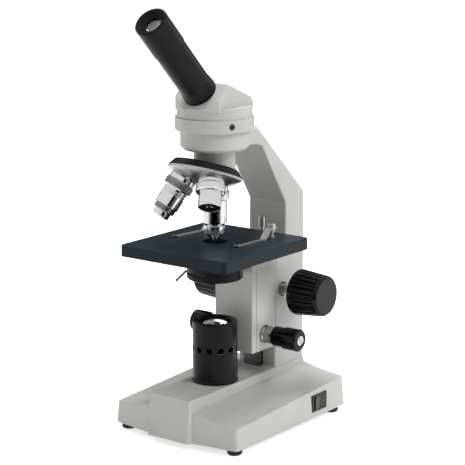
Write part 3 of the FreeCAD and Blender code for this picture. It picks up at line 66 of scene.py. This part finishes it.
toward_camera = Vector((math.sin(camera_azimuth) * math.cos(camera_elevation),
                        -math.cos(camera_azimuth) * math.cos(camera_elevation),
                        math.sin(camera_elevation)))
camera.rotation_mode = "QUATERNION"
camera.rotation_quaternion = (-toward_camera).to_track_quat("-Z", "Y")
bpy.context.scene.collection.objects.link(camera)
bpy.context.scene.camera = camera
bpy.context.scene.view_settings.view_transform = "Standard"


# Studio: a white floor in a white room, lit from the right, from the left and from above.
# Dark cards that only reflections see give the chrome its black streaks.
class Value:
    """A node's output, on which sums are written as on a number."""

    def __init__(self, tree, socket):
        self.tree = tree
        self.socket = socket

    def node(self, kind, settings, inputs, output=0):
        """A new node: its settings are set first, then its sockets are set or linked."""
        made = self.tree.nodes.new("ShaderNode" + kind)
        for name, setting in settings.items():
            setattr(made, name, setting)
        for name, given in inputs.items():
            if isinstance(given, Value):
                self.tree.links.new(given.socket, made.inputs[name])
            else:
                made.inputs[name].default_value = given
        return Value(self.tree, made.outputs[output])

    def math(self, operation, first, second=0.0):
        return self.node("Math", {"operation": operation}, {0: first, 1: second})

    def __add__(self, other):
        return self.math("ADD", self, other)

    def __radd__(self, other):
        return self.math("ADD", other, self)

    def __sub__(self, other):
        return self.math("SUBTRACT", self, other)

    def __rsub__(self, other):
        return self.math("SUBTRACT", other, self)

    def __mul__(self, other):
        return self.math("MULTIPLY", self, other)

    def __rmul__(self, other):
        return self.math("MULTIPLY", other, self)

    def __abs__(self):
        return self.math("ABSOLUTE", self)

    def noise(self, size, detail=3.0):
        """Cloudy noise whose lumps are about that many metres across."""
        return self.node("TexNoise", {}, {"Vector": self, "Scale": 1.0 / size, "Detail": detail})

    def stretched(self, x, y, z):
        return self.node("Mapping", {}, {"Vector": self, "Scale": (x, y, z)})

    def around(self, middle, spread):
        """This value, from 0 to 1, brought to a range of that width about the middle."""
        return self * spread + (middle - spread / 2)

    def window(self, low, high):
        """0 below low, 1 above high and a straight line between."""
        return self.node("MapRange", {"clamp": True}, {"Value": self, "From Min": low, "From Max": high})

    def blend(self, first, second):
        """One colour where this value is 0 and the other where it is 1."""
        return self.node("Mix", {"data_type": "RGBA"},
                         {"Factor": self, 6: (*first, 1.0), 7: (*second, 1.0)}, 2)

    def bump(self, distance, strength):
        return self.node("Bump", {}, {"Height": self, "Distance": distance, "Strength": strength})


def plug(shader, **inputs):
    """Links values to the shader's sockets, and sets plain numbers and colours on them."""
    for name, given in inputs.items():
        socket = shader.inputs[name.replace("_", " ")]
        if isinstance(given, Value):
            given.tree.links.new(given.socket, socket)
        else:
            socket.default_value = given


def studio_floor(glow, mirrored_glow):
    """A floor that looks white to the camera and through glass, and greyer in the chrome."""
    mesh = bpy.data.meshes.new("floor")
    form = bmesh.new()
    bmesh.ops.create_grid(form, x_segments=1, y_segments=1, size=6.0)
    form.to_mesh(mesh)
    form.free()
    floor = bpy.data.objects.new("floor", mesh)
    bpy.context.scene.collection.objects.link(floor)
    cloth = bpy.data.materials.new("white_floor")
    cloth.use_nodes = True
    tree = cloth.node_tree
    path = tree.nodes.new("ShaderNodeLightPath")
    seen = Value(tree, path.outputs["Is Camera Ray"]) + Value(tree, path.outputs["Is Transmission Ray"])
    mirrored = Value(tree, path.outputs["Is Glossy Ray"])
    plug(tree.nodes["Principled BSDF"], Base_Color=(0.9, 0.9, 0.9, 1.0), Roughness=0.9,
         Specular_IOR_Level=0.1, Emission_Color=(1.0, 1.0, 1.0, 1.0),
         Emission_Strength=seen * glow + mirrored * mirrored_glow)
    floor.data.materials.append(cloth)


def white_room(level):
    """A room of full white to the eye, in glass and in chrome, that lights the object at a lower level."""
    room = bpy.data.worlds.new("white_room")
    room.use_nodes = True
    bpy.context.scene.world = room
    tree = room.node_tree
    path = tree.nodes.new("ShaderNodeLightPath")
    seen = Value(tree, path.outputs["Is Camera Ray"]) + Value(tree, path.outputs["Is Glossy Ray"])
    seen = seen + Value(tree, path.outputs["Is Transmission Ray"])
    plug(tree.nodes["Background"], Color=(1.0, 1.0, 1.0, 1.0), Strength=seen * (1.0 - level) + level)


def lamp(name, place, size, power):
    """A broad lamp aimed at the middle of the microscope."""
    target = Vector((0, 0, 0.18))
    data = bpy.data.lights.new(name, "AREA")
    data.shape = "RECTANGLE"
    data.size, data.size_y = size
    data.energy = power
    shown = bpy.data.objects.new(name, data)
    shown.location = place
    shown.rotation_mode = "QUATERNION"
    shown.rotation_quaternion = (target - Vector(place)).to_track_quat("-Z", "Y")
    # The chrome mirrors the room and the cards, not the lamps
    shown.visible_glossy = False
    bpy.context.scene.collection.objects.link(shown)


def dark_card(name, place, width, height, lying=False):
    """A card that shows only in reflections: black in the middle and white at its left and right edges."""
    black_share = 0.45
    mesh = bpy.data.meshes.new(name)
    form = bmesh.new()
    bmesh.ops.create_grid(form, x_segments=1, y_segments=1, size=0.5)
    bmesh.ops.scale(form, vec=(width, height, 1), verts=form.verts)
    form.to_mesh(mesh)
    form.free()
    card = bpy.data.objects.new(name, mesh)
    toward = Vector((-place[0], -place[1], 0.0))
    card.rotation_mode = "QUATERNION"
    card.rotation_quaternion = toward.to_track_quat("Y" if lying else "Z", "Z" if lying else "Y")
    card.location = place
    bpy.context.scene.collection.objects.link(card)
    shade = bpy.data.materials.new(name)
    shade.use_nodes = True
    tree = shade.node_tree
    tree.nodes.clear()
    spot = Value(tree, tree.nodes.new("ShaderNodeTexCoord").outputs["Object"])
    across = spot.node("SeparateXYZ", {}, {"Vector": spot})
    edge = abs(across * (2.0 / width)).window(black_share, 1.0)
    glow = tree.nodes.new("ShaderNodeEmission")
    plug(glow, Strength=edge * edge)
    end = tree.nodes.new("ShaderNodeOutputMaterial")
    tree.links.new(glow.outputs["Emission"], end.inputs["Surface"])
    mesh.materials.append(shade)
    card.visible_camera = False
    card.visible_diffuse = False
    card.visible_shadow = False
    card.visible_transmission = False


studio_floor(glow=0.70, mirrored_glow=0.25)
white_room(level=0.33)
lamp("key_lamp", place=(1.6, 0.1, 1.6), size=(1.0, 1.0), power=24.0)
lamp("fill_lamp", place=(-1.8, -0.3, 0.9), size=(1.0, 1.4), power=6.0)
lamp("top_lamp", place=(-0.2, 0.3, 2.2), size=(1.2, 1.2), power=36.0)
dark_card("card_behind_camera", place=(0.79, -1.03, 0.15), width=2.4, height=0.6)
dark_card("card_on_floor", place=(0.55, -0.72, 0.002), width=2.0, height=0.9, lying=True)
dark_card("card_behind_object", place=(-0.79, 1.03, 0.45), width=2.2, height=0.9)


# Base: a hollow iron casting under warm grey enamel, open below and closed by a dark plate.
# The same enamel is on the arm, the head, the focus block and the carrier of the stage.
def finish(name, metallic=0.0):
    """A new material, its shader, and the object's own coordinates in it."""
    made = bpy.data.materials.new(name)
    made.use_nodes = True
    tree = made.node_tree
    shader = tree.nodes["Principled BSDF"]
    plug(shader, Metallic=metallic)
    place = Value(tree, tree.nodes.new("ShaderNodeTexCoord").outputs["Object"])
    return made, shader, place


def enamel(name, dark, light, rough, shine=0.5):
    """Sprayed enamel: slight clouds in the colour and the faint orange peel of the spray."""
    made, shader, place = finish(name)
    clouds = place.noise(0.03, 4.0)
    peel = place.noise(0.0013, 2.0)
    plug(shader, Base_Color=clouds.window(0.3, 0.7).blend(dark, light), Roughness=clouds.around(rough, 0.12),
         Normal=peel.bump(0.00006, 0.5), Specular_IOR_Level=shine)
    return made


def dress(material, *names):
    """Gives CAD nodes their finish."""
    for name in names:
        nodes[name].data.materials.clear()
        nodes[name].data.materials.append(material)


def soften(name, rounding):
    """Joins the triangles of a flat-sided piece and rounds its edges, as casting and paint do."""
    least_edge_angle = math.radians(32.0)
    node = nodes[name]
    if "custom_normal" in node.data.attributes:
        node.data.attributes.remove(node.data.attributes["custom_normal"])
    node.data.shade_smooth()
    weld = node.modifiers.new("joined", "WELD")
    weld.merge_threshold = 0.000005
    bevel = node.modifiers.new("soft_edges", "BEVEL")
    bevel.width = rounding
    bevel.segments = 3
    bevel.limit_method = "ANGLE"
    bevel.angle_limit = least_edge_angle
    bevel.miter_outer = "MITER_ARC"
    level = node.modifiers.new("flat_faces", "WEIGHTED_NORMAL")
    level.mode = "FACE_AREA_WITH_ANGLE"
    level.weight = 80


grey_paint = enamel("grey_paint", dark=(0.505, 0.505, 0.478), light=(0.555, 0.555, 0.527), rough=0.36)
cover_grey = enamel("cover_grey", dark=(0.10, 0.10, 0.10), light=(0.14, 0.14, 0.14), rough=0.5)
dress(grey_paint, "base_casting")
soften("base_casting", rounding=0.0015)
dress(cover_grey, "base_cover")


# Feet: four pads moulded in black rubber, matt and a little dusty.
# A slotted steel screw goes up through each foot and the cover into the casting.
def rubber(name):
    """Soft black rubber with dust in its fine pores."""
    made, shader, place = finish(name)
    dust = place.noise(0.004, 4.0)
    plug(shader, Base_Color=dust.blend((0.012, 0.012, 0.012), (0.03, 0.03, 0.03)),
         Roughness=dust.around(0.78, 0.2), Normal=place.noise(0.0007).bump(0.00008, 0.5))
    return made


def machined(name, colour, rough):
    """Turned or ground metal: fine marks along the piece and a slight stain."""
    made, shader, place = finish(name, metallic=1.0)
    marks = place.stretched(1.0, 1.0, 9.0).noise(0.0016, 2.0)
    stain = place.noise(0.012)
    darker = tuple(part * 0.8 for part in colour)
    plug(shader, Base_Color=stain.blend(darker, colour), Roughness=marks.around(rough, 0.16),
         Normal=marks.bump(0.00003, 0.4))
    return made


steel = machined("steel", colour=(0.62, 0.61, 0.59), rough=0.3)
dress(rubber("foot_rubber"), "rubber_feet")
dress(steel, "cover_screws")


# Lamp: a metal can with round vents, painted black, with its flange on the raised middle of the base.
# A ceramic socket holds its small bulb, and a domed glass lies in its top.
def glass(name, colour):
    """Clear glass with a faint smear."""
    made, shader, place = finish(name)
    smear = place.noise(0.006)
    plug(shader, Base_Color=(*colour, 1.0), Roughness=smear.around(0.045, 0.05), Transmission_Weight=1.0,
         IOR=1.5)
    return made


black_paint = enamel("black_paint", dark=(0.005, 0.006, 0.007), light=(0.009, 0.010, 0.012), rough=0.32,
                     shine=0.13)
clear_glass = glass("clear_glass", colour=(0.95, 0.97, 0.98))
ceramic = enamel("ceramic", dark=(0.55, 0.54, 0.5), light=(0.62, 0.61, 0.57), rough=0.5)
dress(black_paint, "lamp_housing")
dress(clear_glass, "lamp_lens", "lamp_bulb")
dress(ceramic, "lamp_socket")


# Switch: a black moulded rocker in a bezel that snaps into the right side of the base.
# The outlet in the rear wall is moulded in the same plastic.
def moulded(name, colour, rough, shine, grain=0.0):
    """Moulded plastic: even colour, faint flow clouds and, where wanted, a fine grain."""
    made, shader, place = finish(name)
    flow = place.noise(0.01)
    lighter = tuple(part * 1.5 + 0.002 for part in colour)
    plug(shader, Base_Color=flow.blend(colour, lighter), Roughness=flow.around(rough, 0.1),
         Specular_IOR_Level=shine)
    if grain > 0:
        plug(shader, Normal=place.noise(0.0005, 2.0).bump(grain, 0.5))
    return made


satin_plastic = moulded("satin_plastic", colour=(0.010, 0.010, 0.011), rough=0.3, shine=0.3, grain=0.00002)
dress(satin_plastic, "switch_housing", "switch_rocker", "cable_gland")


# Arm: one casting in the same enamel, from the base up to the head, held by two steel bolts from below.
# The focus block rides on its blackened steel guide, and a slotted limit screw stands in its ledge.
dark_steel = machined("dark_steel", colour=(0.10, 0.10, 0.105), rough=0.38)
dress(grey_paint, "arm_casting")
soften("arm_casting", rounding=0.0006)
dress(dark_steel, "guide_rail")
dress(steel, "arm_bolts", "stop_screw")


# Turret: a domed plate in satin chrome, which the fingers turn by its black painted rim with a straight knurl.
# Both hang on a steel axle that leans forward through the apex, the point where the objectives' lines meet.
def plated(name, rough, dark, light):
    """Bright plate with a little haze."""
    made, shader, place = finish(name, metallic=1.0)
    haze = place.noise(0.005)
    plug(shader, Base_Color=haze.blend((dark, dark, dark), (light, light, light)),
         Roughness=haze.around(rough, 0.08))
    return made


def turned_form(outline, rounding, steps, closed=True):
    """A piece turned about Z from (radius, distance) corners in millimetres, each a little rounded.

    A closed outline is the section of a ring. An open one starts and ends on the axis.
    """
    form = bmesh.new()
    corners = [form.verts.new((radius / 1000, 0, distance / 1000)) for radius, distance in outline]
    last = corners[:1] if closed else []
    for first, second in zip(corners, corners[1:] + last):
        form.edges.new((first, second))
    rounded = corners if closed else corners[1:-1]
    bmesh.ops.bevel(form, geom=rounded, offset=rounding / 1000, offset_type="OFFSET", segments=2,
                    affect="VERTICES", profile=0.5, material=-1, clamp_overlap=True)
    bmesh.ops.spin(form, geom=form.verts[:] + form.edges[:], cent=(0, 0, 0), axis=(0, 0, 1), dvec=(0, 0, 0),
                   angle=2 * math.pi, steps=steps, use_merge=True, use_duplicate=False)
    bmesh.ops.remove_doubles(form, verts=form.verts, dist=0.000001)
    bmesh.ops.recalc_face_normals(form, faces=form.faces)
    return form


def knurl(form, low, high, depth, gap):
    """Raises every face between two distances, in millimetres, into a small tooth."""
    band = [face for face in form.faces if all(low < vert.co.z * 1000 < high for vert in face.verts)
            and abs(face.normal.z) < 0.9]
    bmesh.ops.inset_individual(form, faces=band, thickness=gap / 1000, depth=depth / 1000,
                               use_even_offset=True)


def placed_piece(name, form, place, direction, material, body):
    """Turns the form's Z to a direction, moves it to its place and lets it ride on a body."""
    turn = Vector(direction).to_track_quat("Z", "Y").to_matrix()
    bmesh.ops.rotate(form, cent=(0, 0, 0), matrix=turn, verts=form.verts)
    bmesh.ops.translate(form, vec=place, verts=form.verts)
    mesh = bpy.data.meshes.new(name)
    form.to_mesh(mesh)
    form.free()
    mesh.materials.append(material)
    mesh.shade_smooth()
    made = bpy.data.objects.new(name, mesh)
    bpy.context.scene.collection.objects.link(made)
    level = made.modifiers.new("flat_faces", "WEIGHTED_NORMAL")
    level.mode = "FACE_AREA"
    level.weight = 80
    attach(made, body)
    return made


apex_height = 0.2577
turret_lean = math.radians(20)
apex = Vector((0, axis_y, apex_height))
turret_axis = Vector((0, -math.sin(turret_lean), -math.cos(turret_lean)))
rim = turned_form([(3.6, 31.0), (26.5, 31.0), (27.3, 32.0), (30.8, 36.6), (31.0, 37.0), (28.0, 37.0),
                   (24.0, 33.5), (3.6, 33.5)], rounding=0.2, steps=144)
knurl(rim, low=31.7, high=36.8, depth=0.22, gap=0.16)
rim_piece = placed_piece("turret_rim", rim, apex, turret_axis, black_paint, "nosepiece")
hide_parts("nosepiece_rim")
dress(plated("satin_plate", rough=0.3, dark=0.38, light=0.46), "nosepiece_shell")
dress(steel, "nosepiece_axle", "click_spring")


# Objectives: turned brass under bright chrome, with a knurled grip near the shoulder, screwed into the turret.
# Their outlines are in millimetres from the apex, along lines 20 degrees off the turret's axis.
chrome = plated("chrome", rough=0.12, dark=0.60, light=0.68)
thread_start, thread_end, thread_radius = 44.4, 48.4, 9.2
shoulder_radius, profile_start = 11.2, 49.7


def objective_axis(index):
    """The way one objective points; number 0 is the upright one."""
    return Matrix.Rotation(math.radians(120 * index), 3, turret_axis) @ Vector((0, 0, -1))


def banded_chrome(name, axis, bands):
    """Chrome that is darker and rougher in bands between distances along an objective's axis."""
    made, shader, place = finish(name, metallic=1.0)
    band_edge = 0.0002
    along = place.node("VectorMath", {"operation": "DOT_PRODUCT"}, {0: place, 1: axis}, 1) - apex.dot(axis)
    dark_bands = 0.0
    for low, high in bands:
        dark_bands = dark_bands + along.window(low, low + band_edge) * (1.0 - along.window(high - band_edge, high))
    plug(shader, Base_Color=dark_bands.blend((0.64, 0.64, 0.64), (0.20, 0.20, 0.20)), Roughness=dark_bands * 0.15 + 0.12)
    return made


def objective_piece(name, outline, grip, index, node, body="nosepiece", look=chrome):
    """Turns one piece of an objective, cuts its grip and sets it in place of its CAD node."""
    form = turned_form(outline, rounding=0.18, steps=96)
    if grip:
        knurl(form, *grip, depth=0.2, gap=0.12)
    piece = placed_piece(name, form, apex, objective_axis(index), look, body)
    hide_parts(node)


def barrel(bore, profile):
    """A threaded stub and a shoulder, then the profile past them and back to the bore."""
    stub = [(bore, thread_start), (thread_radius, thread_start), (thread_radius, thread_end),
            (shoulder_radius, thread_end)]
    outside = [(radius, profile_start + past) for radius, past in profile]
    return stub + outside + [(bore, outside[-1][1])]


objective_piece("low_power_objective",
                barrel(4.6, [(11.2, 1.6), (10.4, 2.0), (10.4, 2.8), (12.2, 3.2), (12.2, 8.2), (11.4, 9.0),
                             (9.5, 9.0), (9.5, 21.4), (8.9, 22.0), (8.35, 22.0), (8.35, 21.1), (6.6, 21.1),
                             (6.6, 19.8)]),
                (52.95, 57.9), 1, "objective_low")
low_front = turned_form([(3.0, 70.9), (8.3, 70.9), (8.3, 71.6), (4.4, 71.6), (3.0, 71.2)], rounding=0.1,
                        steps=64)
placed_piece("low_power_front_ring", low_front, apex, objective_axis(1), black_paint, "nosepiece")
objective_piece("mid_power_objective",
                barrel(3.4, [(11.2, 2.4), (11.6, 2.8), (12.2, 3.4), (12.2, 9.0), (10.2, 10.0), (10.2, 12.2),
                             (9.6, 12.2), (9.6, 13.0), (10.2, 13.0), (10.2, 14.2), (9.6, 14.2), (9.6, 15.0),
                             (10.2, 15.0), (10.2, 26.0), (9.2, 26.4), (9.2, 30.5), (7.2, 31.0), (7.2, 35.2),
                             (6.4, 36.0)]),
                (53.15, 58.65), 2, "objective_mid",
                look=banded_chrome("banded_chrome", objective_axis(2), [(0.0531, 0.0587), (0.0755, 0.0802)]))
objective_piece("high_power_objective",
                barrel(6.5, [(11.2, 2.4), (11.6, 2.8), (12.2, 3.4), (12.2, 9.0), (10.15, 10.0), (10.15, 29.5),
                             (9.7, 30.0)]),
                (53.15, 58.65), 0, "objective_high")
objective_piece("high_power_nose",
                [(2.0, 69.7), (6.45, 69.7), (6.45, 81.6), (8.75, 81.6), (8.75, 88.2), (3.2, 93.7),
                 (2.0, 93.7), (2.0, 93.2), (0.6, 93.2), (0.6, 92.0), (2.0, 92.0)],
                None, 0, "high_nose", "sprung_nose")
dress(clear_glass, "objective_low_lens", "objective_mid_lens")


# Spring of the high-power objective: six turns of steel wire inside its barrel, behind its front.
# It shortens when a slide pushes the front in.
coil_radius, wire_radius = 0.0054, 0.0006
coil_start, coil_length = 0.0583, 0.0104
coil_turns = 6
coil_steps = 24 * coil_turns
coil = bmesh.new()
wire_end = Matrix.Translation((coil_radius, 0, coil_start)) @ Matrix.Rotation(math.radians(90), 4, "X")
bmesh.ops.create_circle(coil, cap_ends=False, segments=10, radius=wire_radius, matrix=wire_end)
bmesh.ops.spin(coil, geom=coil.verts[:] + coil.edges[:], cent=(0, 0, 0), axis=(0, 0, 1),
               dvec=(0, 0, coil_length / coil_steps), angle=2 * math.pi * coil_turns, steps=coil_steps,
               use_merge=False, use_duplicate=False)
bmesh.ops.holes_fill(coil, edges=[edge for edge in coil.edges if edge.is_boundary], sides=0)
bmesh.ops.recalc_face_normals(coil, faces=coil.faces)
spring = placed_piece("high_power_spring", coil, apex, objective_axis(0), steel, "nosepiece")
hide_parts("high_nose_spring")
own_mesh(spring)


# Head: a casting in the same enamel with a glass prism inside, clamped on the arm by a small dark screw.
# Its inclined tube and the eyepiece in it are satin black, and two lenses sit in the eyepiece.
satin_black = moulded("satin_black", colour=(0.004, 0.004, 0.005), rough=0.34, shine=0.12, grain=0.00002)
dress(grey_paint, "head_casting")
soften("head_casting", rounding=0.0010)
dress(dark_steel, "head_screw")
dress(satin_black, "eyepiece_tube", "eyepiece_barrel")
dress(clear_glass, "head_prism", "field_lens", "eye_lens")


# Focus: a painted block on the arm's guide, moved by a brass rack, with a brass wedge for the fine drive.
# Both steel shafts turn in nickel-plated bushes. The fine knobs are glossy black mouldings, held by a screw.
brass = machined("brass", colour=(0.62, 0.44, 0.18), rough=0.34)
nickel = machined("nickel", colour=(0.40, 0.40, 0.38), rough=0.2)
glossy_black = moulded("glossy_black", colour=(0.002, 0.002, 0.0025), rough=0.16, shine=0.15)
dress(grey_paint, "focus_block")
soften("focus_block", rounding=0.0010)
dress(brass, "focus_rack", "fine_wedge")
dress(nickel, "coarse_bushes", "fine_bushes")
dress(steel, "coarse_shaft", "fine_shaft", "fine_knob_screws")
dress(glossy_black, "fine_knob_right", "fine_knob_left")


# Coarse knobs: tapered grips moulded in black plastic, with rounded grooves that stop short of the rim.
# They are pressed on the ends of the cross shaft, and a thin matt disc closes each.
knob_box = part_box("coarse_knob_right")
shaft_place = (0, (knob_box[0].y + knob_box[1].y) / 2, (knob_box[0].z + knob_box[1].z) / 2)
grooves = 24
columns_per_groove = 6
columns = columns_per_groove * grooves
groove_depths = {0: 0.0010, 1: 0.0005, 5: 0.0005}
groove_start, groove_end = 0.0401, 0.0631
least_side_radius = 0.016
matt_disc = moulded("matt_disc", colour=(0.030, 0.030, 0.031), rough=0.6, shine=0.12)


def fluted_knob():
    """The grip, turned first, then pushed in along its grooves."""
    form = turned_form([(3.02, 39.8), (7.0, 39.8), (7.0, 36.8), (18.5, 36.8), (19.9, 38.0), (19.85, 39.6),
                        (19.75, 40.8), (17.85, 62.4), (17.75, 63.6), (17.2, 65.0), (16.3, 65.9), (15.4, 66.0),
                        (15.35, 65.4), (3.02, 65.4)], rounding=0.3, steps=columns)
    for vert in form.verts:
        if groove_start < vert.co.z < groove_end and vert.co.xy.length > least_side_radius:
            column = round(math.atan2(vert.co.y, vert.co.x) / (2 * math.pi) * columns) % columns_per_groove
            inward = vert.co.xy.normalized() * -groove_depths.get(column, 0.0)
            bmesh.ops.translate(form, verts=[vert], vec=(inward.x, inward.y, 0.0))
    return form


for side, way in (("right", 1), ("left", -1)):
    outward = (way, 0, 0)
    grip = placed_piece(f"coarse_grip_{side}", fluted_knob(), shaft_place, outward, glossy_black,
                        "coarse_drive")
    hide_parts(f"coarse_knob_{side}")
    disc = turned_form([(0, 65.4), (15.3, 65.4), (15.3, 66.2), (0, 66.2)], rounding=0.2, steps=96,
                       closed=False)
    cap = placed_piece(f"coarse_cap_{side}", disc, shaft_place, outward, matt_disc, "coarse_drive")
    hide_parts("coarse_knob_caps")


# Stage: a flat plate in blue-black paint, screwed on its grey carrier, with two sprung steel clips on posts.
# The condenser hangs below it: a black sleeve with a lens, and an iris of five thin leaves with a lever.
stage_black = enamel("stage_black", dark=(0.010, 0.017, 0.024), light=(0.014, 0.023, 0.032), rough=0.42,
                     shine=0.12)
dress(grey_paint, "carrier_plate")
soften("carrier_plate", rounding=0.0008)
dress(stage_black, "stage_plate")
soften("stage_plate", rounding=0.0012)
dress(steel, "stage_screws")
dress(plated("satin_clip", rough=0.42, dark=0.50, light=0.58), "clip_right", "clip_left")
dress(black_paint, "condenser_housing", "iris_base")
dress(clear_glass, "condenser_lens")
dress(dark_steel, "iris_lever", *[f"iris_leaf_{number}" for number in range(1, 6)])
